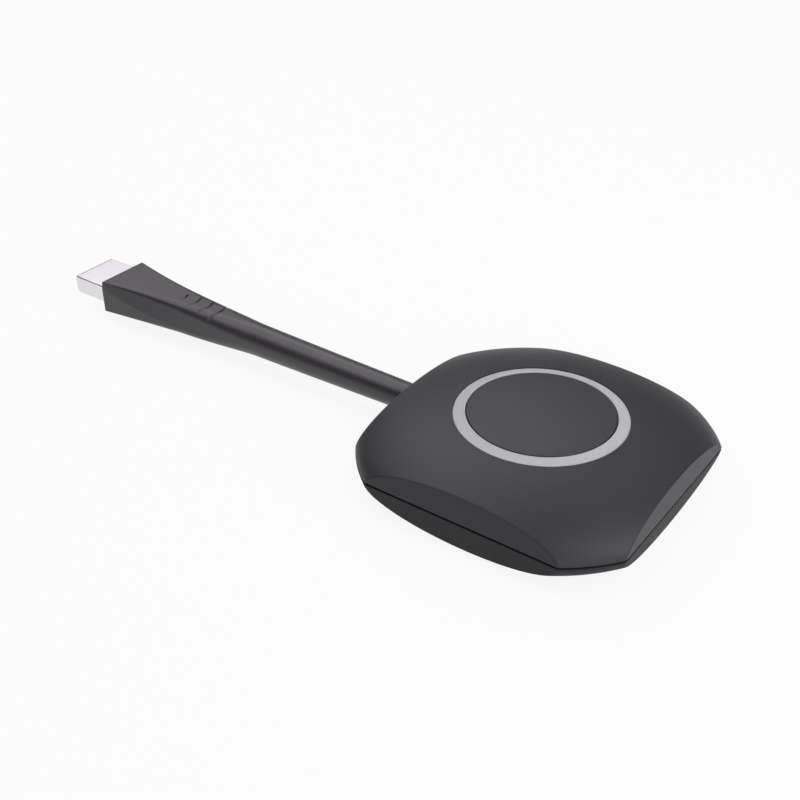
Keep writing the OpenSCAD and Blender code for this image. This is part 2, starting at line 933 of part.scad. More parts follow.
// A bar along Y with rounded edges, centred on the tail's axis
module plug_section(width, height, length) {
    half_w = width / 2 - shell_corner_r;
    half_h = height / 2 - shell_corner_r;
    translate([0, length, tail_z])
        rotate([90, 0, 0])
            linear_extrude(height = length)
                union() {
                    square([width, 2 * half_h], center = true);
                    square([2 * half_w, height], center = true);
                    for (x = [-half_w, half_w])
                        for (y = [-half_h, half_h])
                            translate([x, y])
                                circle(r = shell_corner_r, $fn = 32);
                }
}

module plug_core() {
    color("#d8d4c6")
        translate([0, shell_y - core_l, 0])
            plug_section(core_w, core_h, core_l);
}

module usb_shell() {
    color(metal_colour)
        difference() {
            translate([0, shell_y, 0])
                plug_section(usb_w, usb_h, shell_total_l);
            translate([-usb_w / 2 + usb_t, shell_y - over, tail_z - usb_h / 2 + usb_t])
                cube([usb_w - 2 * usb_t, shell_total_l + 2 * over, usb_h - 2 * usb_t]);
            for (x = [-window_x, window_x])
                translate([x - window_w / 2, housing_y + usb_l - window_back - window_l,
                           tail_z - usb_h / 2 - over])
                    cube([window_w, window_l, over + usb_t + fit]);
        }
}

module usb_tongue() {
    low = tail_z - usb_h / 2 + usb_t + fit;
    width = usb_w - 2 * (usb_t + fit);
    color("#2b2c2f")
        union() {
            translate([-width / 2, shell_y, low])
                cube([width, carrier_l, usb_h - 2 * (usb_t + fit)]);
            translate([-width / 2, shell_y, low])
                cube([width, shell_total_l - tongue_back, tongue_t]);
        }
}

module usb_contacts() {
    low = tail_z - usb_h / 2 + usb_t + fit + tongue_t;
    color(gold_colour)
        for (x = [-outer_contact_x, -inner_contact_x, inner_contact_x, outer_contact_x])
            translate([x - contact_w / 2, shell_y + carrier_l, low])
                cube([contact_w, contact_l, contact_t]);
}

top_cover();
bottom_cover();
button_cap();
light_ring();
guide_frame();
frame_screws();
housing_screws();
foot_pad();
circuit_board();
status_leds();
switch_base();
switch_stem();
system_chip();
memory_chip();
flash_chip();
crystal();
capacitors();
power_inductors();
chip_shield();
chip_pad();
thermal_pad();
heat_spreader();
radio_module();
radio_shield();
antenna_left();
antenna_right();
wire_socket();
wire_plug();
wire_red();
wire_white();
wire_green();
wire_black();
cable_core();
tail_sleeve();
plug_core();
usb_shell();
usb_tongue();
usb_contacts();
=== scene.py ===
# A wireless presentation dongle: a domed square puck with a push button in a light ring,
# and a moulded tail that ends in a USB plug.
import json
import math
import bmesh
import bpy
from mathutils import Matrix, Vector


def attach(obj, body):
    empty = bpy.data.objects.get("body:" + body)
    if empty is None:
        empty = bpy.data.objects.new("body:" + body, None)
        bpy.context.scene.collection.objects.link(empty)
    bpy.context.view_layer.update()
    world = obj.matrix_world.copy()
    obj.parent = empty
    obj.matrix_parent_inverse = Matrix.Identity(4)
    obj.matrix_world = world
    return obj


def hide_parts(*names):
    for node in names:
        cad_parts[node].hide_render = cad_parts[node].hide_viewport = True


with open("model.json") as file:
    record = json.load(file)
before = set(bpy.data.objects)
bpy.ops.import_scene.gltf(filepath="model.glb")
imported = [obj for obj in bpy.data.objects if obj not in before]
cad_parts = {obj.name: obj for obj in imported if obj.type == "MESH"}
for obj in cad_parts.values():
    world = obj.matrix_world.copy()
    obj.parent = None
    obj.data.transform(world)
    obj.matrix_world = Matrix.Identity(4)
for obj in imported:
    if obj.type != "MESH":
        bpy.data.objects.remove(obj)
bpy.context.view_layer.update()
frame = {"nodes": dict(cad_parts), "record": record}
scene = bpy.context.scene
mm = 0.001
print("frame loaded:", len(frame["nodes"]), "nodes")

# where the photograph was taken from; its picture plane is given in pixels
photoView = {
    "azimuth": -54.81,
    "elevation": 33.12,
    "roll": 0.39,
    "distance": 264.68 * mm,
    "target": (6.77 * mm, 37.62 * mm, 0),
    "focalPixels": 1189.32,
    "centrePixels": (404.82, 401.8),
    "framePixels": 800,
    "sensorWidth": 36,
}


def makeCamera(view):
    turn, rise, roll = (math.radians(view[k]) for k in ("azimuth", "elevation", "roll"))
    back = Vector((math.sin(turn) * math.cos(rise), -math.cos(turn) * math.cos(rise), math.sin(rise)))
    right = Vector((math.cos(turn), math.sin(turn), 0))
    up = back.cross(right)
    tilted = (math.cos(roll) * right + math.sin(roll) * up, math.cos(roll) * up - math.sin(roll) * right)
    place = Vector(view["target"]) + back * view["distance"]
    data = bpy.data.cameras.new("photoCamera")
    data.sensor_width = view["sensorWidth"]
    data.lens = view["focalPixels"] / view["framePixels"] * view["sensorWidth"]
    centre = view["framePixels"] / 2
    data.shift_x = (centre - view["centrePixels"][0]) / view["framePixels"]
    data.shift_y = (view["centrePixels"][1] - centre) / view["framePixels"]
    data.clip_start = view["distance"] / 20
    camera = bpy.data.objects.new("photoCamera", data)
    camera.matrix_world = Matrix((tilted[0], tilted[1], back)).transposed().to_4x4()
    camera.location = place
    scene.collection.objects.link(camera)
    scene.camera = camera


makeCamera(photoView)


# Shader sums

class Sum:
    # wraps a socket, so that an expression on it adds its Math nodes
    def __init__(self, shader, socket):
        self.shader, self.socket = shader, socket

    def maths(self, operation, first, second):
        return self.shader.add("ShaderNodeMath", {"operation": operation}, {0: first, 1: second})

    def __add__(self, other):
        return self.maths("ADD", self, other)

    def __radd__(self, other):
        return self.maths("ADD", other, self)

    def __sub__(self, other):
        return self.maths("SUBTRACT", self, other)

    def __rsub__(self, other):
        return self.maths("SUBTRACT", other, self)

    def __mul__(self, other):
        return self.maths("MULTIPLY", self, other)

    def __rmul__(self, other):
        return self.maths("MULTIPLY", other, self)

    def __lt__(self, other):
        return self.maths("LESS_THAN", self, other)

    def __gt__(self, other):
        return self.maths("GREATER_THAN", self, other)

    def swing(self, amount):
        # a noise from 0 to 1 as a change of half the amount either way
        return (self - 0.5) * amount


class Shader:
    # one material's or the world's node tree
    def __init__(self, owner):
        owner.use_nodes = True
        self.tree = owner.node_tree
        self.tree.nodes.clear()

    def add(self, kind, settings=None, values=None, output=0):
        # the settings are the node's own, and the values go into its sockets
        node = self.tree.nodes.new(kind)
        for name, value in (settings or {}).items():
            setattr(node, name, value)
        for name, value in (values or {}).items():
            if isinstance(value, Sum):
                self.tree.links.new(value.socket, node.inputs[name])
            else:
                node.inputs[name].default_value = value
        return Sum(self, node.outputs[output]) if node.outputs else node

    def mixColour(self, share, first, second):
        # the Mix node has a set of sockets for each kind of data, and colours have 6, 7 and output 2
        settings = {"data_type": "RGBA"}
        return self.add("ShaderNodeMix", settings, {0: share, 6: first, 7: second}, output=2)

    def place(self):
        return self.add("ShaderNodeTexCoord", output="Object")

    def height(self, place):
        return self.add("ShaderNodeSeparateXYZ", {}, {"Vector": place}, output="Z")

    def noise(self, size, detail=2.0, stretch=(1, 1, 1)):
        place = self.place()
        if stretch != (1, 1, 1):
            place = self.add("ShaderNodeVectorMath", {"operation": "MULTIPLY"}, {0: place, 1: stretch})
        return self.add("ShaderNodeTexNoise", {}, {"Vector": place, "Scale": 1 / size, "Detail": detail})

    def bump(self, height, depth, strength):
        return self.add("ShaderNodeBump", {}, {"Strength": strength, "Distance": depth, "Height": height})

    def rays(self, kind):
        # 1 on rays of this kind and 0 on all others
        return self.add("ShaderNodeLightPath", output="Is %s Ray" % kind)

    def surface(self, values):
        body = self.add("ShaderNodeBsdfPrincipled", {}, values)
        self.add("ShaderNodeOutputMaterial", {}, {"Surface": body})


def paint(red, green, blue):
    # a screen colour, each part of it from 11 to 255, as the shader's own light values
    return tuple(((c / 255 + 0.055) / 1.055) ** 2.4 for c in (red, green, blue)) + (1.0,)


def shade(colour, factor):
    return tuple(c * factor for c in colour[:3]) + (1.0,)


# Finishes

def mouldedPlastic(name, look):
    # satin plastic: fine spark-eroded grain, with a faint cloudiness in colour and gloss
    gloss = {"grain": 0.1, "cloud": 0.06, "grainDetail": 3.0}
    material = bpy.data.materials.new(name)
    shader = Shader(material)
    grain = shader.noise(look["grainSize"], gloss["grainDetail"])
    cloud = shader.noise(look["cloudSize"])
    colour = shader.mixColour(cloud, shade(look["colour"], 1 - look["cloudShare"]),
                              shade(look["colour"], 1 + look["cloudShare"]))
    roughness = look["roughness"] + grain.swing(gloss["grain"]) + cloud.swing(gloss["cloud"])
    if "lowEnd" in look:
        # below this height the texture is coarser, and the colour is darkened as painted shade under the
        # body
        below = shader.height(shader.place()) < look["lowEnd"]
        colour = shader.mixColour(below, colour, shade(look["colour"], look["paintedUndersideShade"]))
        roughness = roughness + below * look["lowRoughness"]
    shader.surface({
        "Base Color": colour,
        "Roughness": roughness,
        "Specular IOR Level": look["specular"],
        "Normal": shader.bump(grain, look["grainDepth"], look["grainStrength"]),
    })
    return material


def glowPlastic(name, look):
    # pale diffuser plastic that light soaks into a little
    soft = {"shade": 0.03, "gloss": 0.08, "reach": 0.6 * mm,
            "grainDepth": 0.004 * mm, "grainStrength": 0.3}
    material = bpy.data.materials.new(name)
    shader = Shader(material)
    cloud = shader.noise(look["cloudSize"])
    grain = shader.noise(look["grainSize"])
    shader.surface({
        "Base Color": shader.mixColour(cloud, shade(look["colour"], 1 - soft["shade"]),
                                       shade(look["colour"], 1 + soft["shade"])),
        "Roughness": look["roughness"] + grain.swing(soft["gloss"]),
        "Subsurface Weight": look["soak"],
        "Subsurface Radius": (soft["reach"],) * 3,
        "Normal": shader.bump(grain, soft["grainDepth"], soft["grainStrength"]),
    })
    return material


def plainMetal(name, look):
    # plated or rolled metal: fine rolling lines along Y, in gloss and height
    rolled = {"shade": 0.96, "lineGloss": 0.12, "cloudGloss": 0.06,
              "lineStrength": 0.3, "lineDetail": 3.0}
    material = bpy.data.materials.new(name)
    shader = Shader(material)
    lines = shader.noise(look["lineSize"], rolled["lineDetail"], stretch=look["stretch"])
    cloud = shader.noise(look["cloudSize"])
    roughness = look["roughness"] + lines.swing(rolled["lineGloss"]) + cloud.swing(rolled["cloudGloss"])
    shader.surface({
        "Base Color": shader.mixColour(cloud, shade(look["colour"], rolled["shade"]), look["colour"]),
        "Metallic": 1.0,
        "Roughness": roughness,
        "Normal": shader.bump(lines, look["lineDepth"], rolled["lineStrength"]),
    })
    return material


def boardLacquer(name, look):
    # solder mask over copper: tracks show as slightly paler runs
    material = bpy.data.materials.new(name)
    shader = Shader(material)
    tracks = shader.add("ShaderNodeTexBrick", {"offset": 0.5, "squash": 0.6},
                        {"Vector": shader.place(), "Scale": 1.0, "Brick Width": look["trackLength"],
                         "Row Height": look["trackPitch"], "Mortar Size": look["trackWidth"],
                         "Mortar Smooth": 0.3}, output="Fac")
    grain = shader.noise(look["grainSize"])
    shader.surface({
        "Base Color": shader.mixColour(tracks, look["colour"], shade(look["colour"], look["trackShade"])),
        "Roughness": look["roughness"] + grain.swing(look["gloss"]),
        "Normal": shader.bump(tracks, look["trackDepth"], look["trackStrength"]),
    })
    return material


def wireLook(colour, cloudShare=0.05):
    return {"colour": colour, "roughness": 0.35, "specular": 0.5, "grainSize": 0.3 * mm,
            "grainDepth": 0.01 * mm, "grainStrength": 0.3, "cloudSize": 2 * mm, "cloudShare": cloudShare}


looks = {
    "shell": {"colour": paint(48, 47, 51), "roughness": 0.46, "specular": 0.34, "grainSize": 0.11 * mm,
              "grainDepth": 0.006 * mm, "grainStrength": 0.35, "cloudSize": 14 * mm, "cloudShare": 0.05,
              # below the seam the shell is rougher, and its colour is darkened as painted shade
              "lowEnd": 7 * mm, "paintedUndersideShade": 0.6, "lowRoughness": 0.24},
    "button": {"colour": paint(51, 50, 54), "roughness": 0.48, "specular": 0.4, "grainSize": 0.11 * mm,
               "grainDepth": 0.006 * mm, "grainStrength": 0.35, "cloudSize": 12 * mm, "cloudShare": 0.05},
    "tail": {"colour": paint(48, 44, 48), "roughness": 0.4, "specular": 0.68, "grainSize": 0.14 * mm,
             "grainDepth": 0.008 * mm, "grainStrength": 0.35, "cloudSize": 9 * mm, "cloudShare": 0.05},
    "diffuser": {"colour": paint(181, 181, 182), "roughness": 0.6, "soak": 0.15, "cloudSize": 5 * mm,
                 "grainSize": 0.2 * mm},
    "white_plastic": {"colour": paint(229, 227, 220), "roughness": 0.45, "soak": 0.1,
                      "cloudSize": 6 * mm, "grainSize": 0.2 * mm},
    "foot_rubber": {"colour": paint(38, 38, 40), "roughness": 0.78, "specular": 0.35,
                    "grainSize": 0.3 * mm, "grainDepth": 0.03 * mm, "grainStrength": 0.5,
                    "cloudSize": 8 * mm, "cloudShare": 0.1},
    "chip": {"colour": paint(36, 38, 41), "roughness": 0.55, "specular": 0.45, "grainSize": 0.2 * mm,
             "grainDepth": 0.01 * mm, "grainStrength": 0.5, "cloudSize": 4 * mm, "cloudShare": 0.08},
    "ceramic": {"colour": paint(176, 141, 98), "roughness": 0.4, "specular": 0.5, "grainSize": 0.15 * mm,
                "grainDepth": 0.005 * mm, "grainStrength": 0.4, "cloudSize": 1 * mm, "cloudShare": 0.1},
    "thermal_pad": {"colour": paint(154, 167, 180), "roughness": 0.7, "specular": 0.3,
                    "grainSize": 0.3 * mm, "grainDepth": 0.02 * mm, "grainStrength": 0.5,
                    "cloudSize": 3 * mm, "cloudShare": 0.08},
    "tongue": {"colour": paint(42, 43, 46), "roughness": 0.5, "specular": 0.5, "grainSize": 0.12 * mm,
               "grainDepth": 0.006 * mm, "grainStrength": 0.4, "cloudSize": 3 * mm, "cloudShare": 0.06},
    "cable": {"colour": paint(60, 60, 62), "roughness": 0.6, "specular": 0.4, "grainSize": 0.2 * mm,
              "grainDepth": 0.01 * mm, "grainStrength": 0.4, "cloudSize": 5 * mm, "cloudShare": 0.06},
    "wire_red": wireLook(paint(179, 38, 30)),
    "wire_white": wireLook(paint(232, 232, 232), cloudShare=0.03),
    "wire_green": wireLook(paint(47, 125, 59)),
    "wire_black": wireLook(paint(27, 27, 28)),
    "board": {"colour": paint(29, 74, 53), "roughness": 0.3, "gloss": 0.08, "grainSize": 0.4 * mm,
              "trackLength": 3.1 * mm, "trackPitch": 0.9 * mm, "trackWidth": 0.12 * mm, "trackShade": 1.7,
              "trackDepth": 0.02 * mm, "trackStrength": 0.4},
    "plug_metal": {"colour": paint(232, 228, 232), "roughness": 0.38, "lineSize": 0.5 * mm,
                   "stretch": (4, 0.3, 4), "lineDepth": 0.002 * mm, "cloudSize": 6 * mm},
    "screw_steel": {"colour": paint(190, 192, 195), "roughness": 0.3, "lineSize": 0.3 * mm,
                    "stretch": (1, 1, 3), "lineDepth": 0.004 * mm, "cloudSize": 2 * mm},
    "tin": {"colour": paint(196, 198, 202), "roughness": 0.34, "lineSize": 0.4 * mm,
            "stretch": (3, 0.5, 3), "lineDepth": 0.004 * mm, "cloudSize": 4 * mm},
    "spreader": {"colour": paint(205, 207, 209), "roughness": 0.36, "lineSize": 0.4 * mm,
                 "stretch": (3, 0.4, 3), "lineDepth": 0.005 * mm, "cloudSize": 6 * mm},
    "contact_gold": {"colour": paint(214, 176, 92), "roughness": 0.25, "lineSize": 0.2 * mm,
                     "stretch": (3, 0.5, 3), "lineDepth": 0.002 * mm, "cloudSize": 2 * mm},
}
metals = ("plug_metal", "screw_steel", "tin", "spreader", "contact_gold")
palePlastics = ("diffuser", "white_plastic")


def makeFinish(slotName):
    if slotName in metals:
        return plainMetal(slotName, looks[slotName])
    if slotName in palePlastics:
        return glowPlastic(slotName, looks[slotName])
    if slotName == "board":
        return boardLacquer(slotName, looks[slotName])
    return mouldedPlastic(slotName, looks[slotName])


finishes = {slotName: makeFinish(slotName) for slotName in looks}
print("finishes made:", len(finishes))


# Mesh making

class Skin:
    # gathers faces by where their corners are, so that neighbouring patches share them
    grid = 1e-4 * mm

    def __init__(self):
        self.points, self.known, self.faces = [], {}, []

    def corner(self, point):
        key = tuple(round(c / self.grid) for c in point)
        if key not in self.known:
            self.known[key] = len(self.points)
            self.points.append(tuple(point))
        return self.known[key]

    def face(self, *corners):
        ring = []
        for point in corners:
            index = self.corner(point)
            if index not in ring:
                ring.append(index)
        if len(ring) > 2:
            self.faces.append(ring)

    def rows(self, rows):
        # each row is a closed ring of points, and a face joins each pair of neighbours
        for low, high in zip(rows, rows[1:]):
            for i in range(len(low)):
                j = (i + 1) % len(low)
                self.face(low[i], low[j], high[j], high[i])

    def piece(self, name):
        mesh = bpy.data.meshes.new(name)
        mesh.from_pydata(self.points, [], self.faces)
        work = bmesh.new()
        work.from_mesh(mesh)
        bmesh.ops.recalc_face_normals(work, faces=work.faces)
        work.to_mesh(mesh)
        work.free()
        made = bpy.data.objects.new(name, mesh)
        scene.collection.objects.link(made)
        return made


def smoothShaded(piece, sharpAngle=32):
    mesh = piece.data
    mesh.polygons.foreach_set("use_smooth", [True] * len(mesh.polygons))
    mesh.set_sharp_from_angle(angle=math.radians(sharpAngle))
    weighted = piece.modifiers.new("evenNormals", "WEIGHTED_NORMAL")
    weighted.keep_sharp = True
    return piece


def cutAway(piece, cutters):
    # takes the cutters out of the piece and bakes the result into its mesh
    for cutter in cutters:
        cut = piece.modifiers.new("cut", "BOOLEAN")
        cut.operation, cut.solver, cut.object = "DIFFERENCE", "EXACT", cutter
    bpy.context.view_layer.update()
    shaped = piece.evaluated_get(bpy.context.evaluated_depsgraph_get())
    mesh = bpy.data.meshes.new_from_object(shaped)
    piece.modifiers.clear()
    piece.data = mesh
    for cutter in cutters:
        bpy.data.objects.remove(cutter)
    return piece


def dress(piece, rides, slotName, *nodes):
    piece.data.materials.clear()
    piece.data.materials.append(finishes[slotName])
    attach(piece, rides)
    if nodes:
        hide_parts(*nodes)
    return piece


def filleted(corners, steps=6):
    # an outline of (across, up, fillet radius) with its corners rounded off
    outline = []
    for i, (x, y, radius) in enumerate(corners):
        here = Vector((x, y))
        if radius <= 0:
            outline.append(tuple(here))
            continue
        before = (Vector(corners[i - 1][:2]) - here).normalized()
        after = (Vector(corners[(i + 1) % len(corners)][:2]) - here).normalized()
        half = before.angle(after) / 2
        reach = radius / math.tan(half)
        centre = here + (before + after).normalized() * radius / math.sin(half)
        start, end = here + before * reach - centre, here + after * reach - centre
        sweep = start.angle(end)
        for k in range(steps + 1):
            share = k / steps
            spoke = start * math.sin((1 - share) * sweep) + end * math.sin(share * sweep)
            outline.append(tuple(centre + spoke / math.sin(sweep)))
    return outline


def circleAngles(count):
    return [2 * math.pi * k / count for k in range(count)]


def revolved(name, outline, sides=192):
    # a closed outline of (radius, height), turned round the button's axis
    skin = Skin()
    rings = [[(r * math.cos(a), r * math.sin(a), z) for a in circleAngles(sides)] for r, z in outline]
    skin.rows(rings + rings[:1])
    return skin.piece(name)


def spread(first, last, count):
    return [first + (last - first) * i / count for i in range(count + 1)]


def clamped(share):
    return min(max(share, 0), 1)


def smoothStep(share):
    # a share from 0 to 1 that starts and ends gently
    share = clamped(share)
    return share * share * (3 - 2 * share)


# the rows of a quarter round, as angles from its start
quarterTurns = tuple(math.radians(degrees) for degrees in (30, 60, 90))


# Body form

body = {
    "halfWidth": 30 * mm,
    "cornerRadius": 36.7 * mm,
    "seam": 7 * mm,
    "domeRise": 9.15 * mm,
    "domeSpread": 2.37,
    "domeCrown": 1.71,
    "base": 0.5 * mm,
    "baseRadius": 28.6 * mm,
    "keelSpread": 2.49,
    "keelCrown": 1.86,
    "upperLeans": (math.radians(10), math.radians(5)),
    "lowerLean": math.radians(10),
    "wall": 1.6 * mm,
    "reveal": 0.4 * mm,
    "lipHeight": 1.3 * mm,
    "floor": 2.48 * mm,
    "fit": 0.05 * mm,
    "seamEdge": 0.14 * mm,
    "facetCrease": 0.3 * mm,
}
body["keelDepth"] = (body["seam"] - body["base"]) / (
    1 - (body["baseRadius"] / body["cornerRadius"]) ** body["keelSpread"]) ** (1 / body["keelCrown"])
# shares of a facet's half width, from its edge to its middle, and of a corner's, from the edge on
facetShares = (0, 0.005, 0.01, 0.016, 0.024, 0.036, 0.06, 0.12, 0.25, 0.4, 0.6, 0.8, 1)
cornerShares = (0.016, 0.032, 0.052, 0.08, 0.12, 0.18, 0.26, 0.34, 0.42, 0.5, 0.58, 0.66, 0.74, 0.82,
                0.91, 1)


def domeHeight(radius, inset=0):
    rest = 1 - (radius / (body["cornerRadius"] - inset)) ** body["domeSpread"]
    return body["seam"] + (body["domeRise"] - inset) * max(rest, 0) ** (1 / body["domeCrown"])


def roundRadius(height, inset):
    # radius of the round form at a height, inset from its outer face
    above = height - body["seam"]
    if above >= 0:
        rise, fullness, widening = body["domeRise"], body["domeCrown"], body["domeSpread"]
    else:
        rise, fullness, widening = body["keelDepth"], body["keelCrown"], body["keelSpread"]
    rest = 1 - (abs(above) / (rise - inset)) ** fullness
    return (body["cornerRadius"] - inset) * max(rest, 0) ** (1 / widening)


def facetDistance(height, inset, side):
    # side 0 is a facet that faces along X, and side 1 one that faces along Y
    above = height - body["seam"]
    lean = body["upperLeans"][side] if above > 0 else body["lowerLean"]
    return body["halfWidth"] - abs(above) * math.tan(lean) - inset / math.cos(lean)


def facetEdge(height, inset, side):
    # angle from a facet's middle to its edge, which is zero where there is no facet
    reach = roundRadius(height, inset)
    flat = facetDistance(height, inset, side)
    return math.acos(flat / reach) if reach > flat else 0


def softLeast(first, second, blend):
    # the lesser of two lengths, with the change from one to the other rounded over the blend
    near = max(blend - abs(first - second), 0) / blend
    return min(first, second) - near * near * blend / 4


def aroundBody(edges, radiusAt):
    # one ring of points: eight stretches, each from the middle of a facet to a corner or back
    stretches = []
    for edge in edges:
        stretches.append([edge * (1 - u) for u in reversed(facetShares)]
                         + [edge + (math.pi / 4 - edge) * s for s in cornerShares])
    ring = []
    for quarter in range(4):
        start = quarter * math.pi / 2
        side = quarter % 2
        for angle in stretches[side]:
            ring.append((start + angle, radiusAt(angle, side)))
        for angle in stretches[1 - side][-2:0:-1]:
            ring.append((start + math.pi / 2 - angle, radiusAt(angle, 1 - side)))
    return ring


def bodyRing(height, inset=0):
    def radiusAt(angle, side):
        flat = facetDistance(height, inset, side) / math.cos(angle)
        return softLeast(roundRadius(height, inset), flat, body["facetCrease"])
    ring = aroundBody([facetEdge(height, inset, side) for side in (0, 1)], radiusAt)
    return [(r * math.cos(a), r * math.sin(a), height) for a, r in ring]


def circleRing(radius, height):
    ring = aroundBody((0, 0), lambda angle, side: radius)
    return [(r * math.cos(a), r * math.sin(a), height) for a, r in ring]


def facetTip(inset, outer):
    # height at which a facet along X runs out into the round form, found by halving
    halvings = 60
    low, high = body["seam"], outer
    for _ in range(halvings):
        middle = (low + high) / 2
        if roundRadius(middle, inset) > facetDistance(middle, inset, 0):
            low = middle
        else:
            high = middle
    return low


def facetHeights(tip, end, inset, count):
    # heights from a facet's tip to its end, evenly spaced along its edge
    fine = 300
    heights = [tip + (end - tip) * (k / fine) ** 2 for k in range(fine + 1)]
    places = []
    for z in heights:
        radius, angle = roundRadius(z, inset), facetEdge(z, inset, 0)
        places.append(Vector((radius * math.cos(angle), radius * math.sin(angle), z)))
    run = [0]
    for a, b in zip(places, places[1:]):
        run.append(run[-1] + (b - a).length)
    chosen = []
    for i in range(1, count):
        goal = run[-1] * i / count
        chosen.append(heights[min(k for k in range(fine + 1) if run[k] >= goal)])
    return chosen + [end]


def seamRounding(edgeHeight, towards):
    # a small quarter round at the seam: towards is 1 where the cover lies above it
    size = body["seamEdge"]
    rings = []
    for turn in quarterTurns:
        height = edgeHeight + towards * size * (1 - math.sin(turn))
        rings.append(bodyRing(height, size * (1 - math.cos(turn))))
    return rings


def tailCutter():
    # the round way in for the tail
    way = {"radius": 3.1 * mm, "start": 26 * mm, "end": 32 * mm, "sides": 96}
    outline = ((0, way["start"]), (way["radius"], way["start"]),
               (way["radius"], way["end"]), (0, way["end"]))
    skin = Skin()
    skin.rows([[(radius * math.cos(a), y, body["seam"] + radius * math.sin(a))
                for a in circleAngles(way["sides"])] for radius, y in outline])
    return skin.piece("tailWay")


def makeTopCover():
    hole = {"radius": 17.5 * mm, "edge": 0.1 * mm, "bevel": 0.03 * mm}
    count = {"dome": 26, "facet": 28, "innerFacet": 14, "innerDome": 12}
    # the dome's rows lie closer together near the facets' tips, this far inside of them
    nearTip = [gap * mm for gap in (0.45, 0.34, 0.25, 0.17, 0.1, 0.04, 0)]
    wall = body["wall"]
    lower = body["seam"] + body["reveal"] / 2
    lip = body["seam"] + body["lipHeight"]
    tip = facetTip(0, domeHeight(0))
    tipRadius = roundRadius(tip, 0)
    rim = domeHeight(hole["radius"])
    rows = [circleRing(hole["radius"], rim - hole["edge"]),
            circleRing(hole["radius"] + hole["bevel"], rim - hole["bevel"])]
    rows += [bodyRing(domeHeight(r))
             for r in spread(hole["radius"] + hole["edge"], tipRadius - nearTip[0], count["dome"])]
    rows += [bodyRing(domeHeight(tipRadius - gap)) for gap in nearTip[1:]]
    rows += [bodyRing(z) for z in facetHeights(tip, lower + body["seamEdge"], 0, count["facet"])]
    rows += seamRounding(lower, 1)
    rows += [bodyRing(lower, wall / 2), bodyRing(lip, wall / 2), bodyRing(lip, wall)]
    innerTip = facetTip(wall, domeHeight(0, wall))
    innerHeights = facetHeights(innerTip, lip, wall, count["innerFacet"])[:-1]
    rows += [bodyRing(z, wall) for z in reversed(innerHeights)]
    rows += [bodyRing(domeHeight(r, wall), wall)
             for r in spread(roundRadius(innerTip, wall), hole["radius"], count["innerDome"])]
    rows.append(rows[0])
    skin = Skin()
    skin.rows(rows)
    cover = cutAway(skin.piece("topCover"), [tailCutter()])
    return dress(smoothShaded(cover), "housing", "shell", "top_cover")


def makeBottomCover():
    recess = {"radius": 25.65 * mm, "top": 1.2 * mm, "edge": 0.12 * mm}
    count = {"base": 3, "facet": 28, "inner": 10}
    upper = body["seam"] - body["reveal"] / 2
    lip = body["seam"] + body["lipHeight"] - body["fit"]
    lipInset = body["wall"] / 2 + body["fit"]
    tip = facetTip(0, body["base"])
    rows = [circleRing(0, recess["top"]),
            circleRing(recess["radius"], recess["top"]),
            circleRing(recess["radius"], body["base"] + recess["edge"]),
            circleRing(recess["radius"] + recess["edge"], body["base"])]
    rows += [bodyRing(z) for z in spread(body["base"], tip, count["base"])]
    rows += [bodyRing(z) for z in facetHeights(tip, upper - body["seamEdge"], 0, count["facet"])]
    rows += seamRounding(upper, -1)
    rows += [bodyRing(upper, lipInset), bodyRing(lip, lipInset), bodyRing(lip, body["wall"])]
    rows += [bodyRing(z, body["wall"]) for z in spread(body["seam"], body["floor"], count["inner"])]
    rows.append(circleRing(0, body["floor"]))
    skin = Skin()
    skin.rows(rows)
    cover = cutAway(skin.piece("bottomCover"), [tailCutter()])
    return dress(smoothShaded(cover), "housing", "shell", "bottom_cover")


def makeButton():
    cap = {"radius": 14.8 * mm, "edge": 0.16 * mm, "flangeRadius": 15.9 * mm, "flangeTop": 14.28 * mm,
           "flangeDepth": 0.8 * mm, "skirtEnd": 10.65 * mm, "skirtInner": 13.7 * mm,
           "plungerRadius": 2 * mm, "plungerEnd": 11.4 * mm, "thickness": 1.3 * mm,
           "smallEdge": 0.1 * mm, "skirtEdge": 0.15 * mm, "innerEdge": 0.3 * mm, "crownRows": 30}
    rim = domeHeight(cap["radius"])
    under = domeHeight(cap["skirtInner"]) - cap["thickness"]
    flangeEnd = cap["flangeTop"] - cap["flangeDepth"]
    crown = [(r, domeHeight(r), 0)
             for r in spread(0, cap["radius"] - 2 * cap["edge"], cap["crownRows"])]
    outline = filleted(crown + [
        (cap["radius"], rim, cap["edge"]),
        (cap["radius"], cap["flangeTop"], 0),
        (cap["flangeRadius"], cap["flangeTop"], cap["smallEdge"]),
        (cap["flangeRadius"], flangeEnd, cap["smallEdge"]),
        (cap["radius"], flangeEnd, 0),
        (cap["radius"], cap["skirtEnd"], cap["skirtEdge"]),
        (cap["skirtInner"], cap["skirtEnd"], cap["skirtEdge"]),
        (cap["skirtInner"], under, cap["innerEdge"]),
        (cap["plungerRadius"], under, cap["innerEdge"]),
        (cap["plungerRadius"], cap["plungerEnd"], cap["smallEdge"]),
        (0, cap["plungerEnd"], 0),
    ])
    return dress(smoothShaded(revolved("buttonCap", outline)), "button", "button", "button_cap")


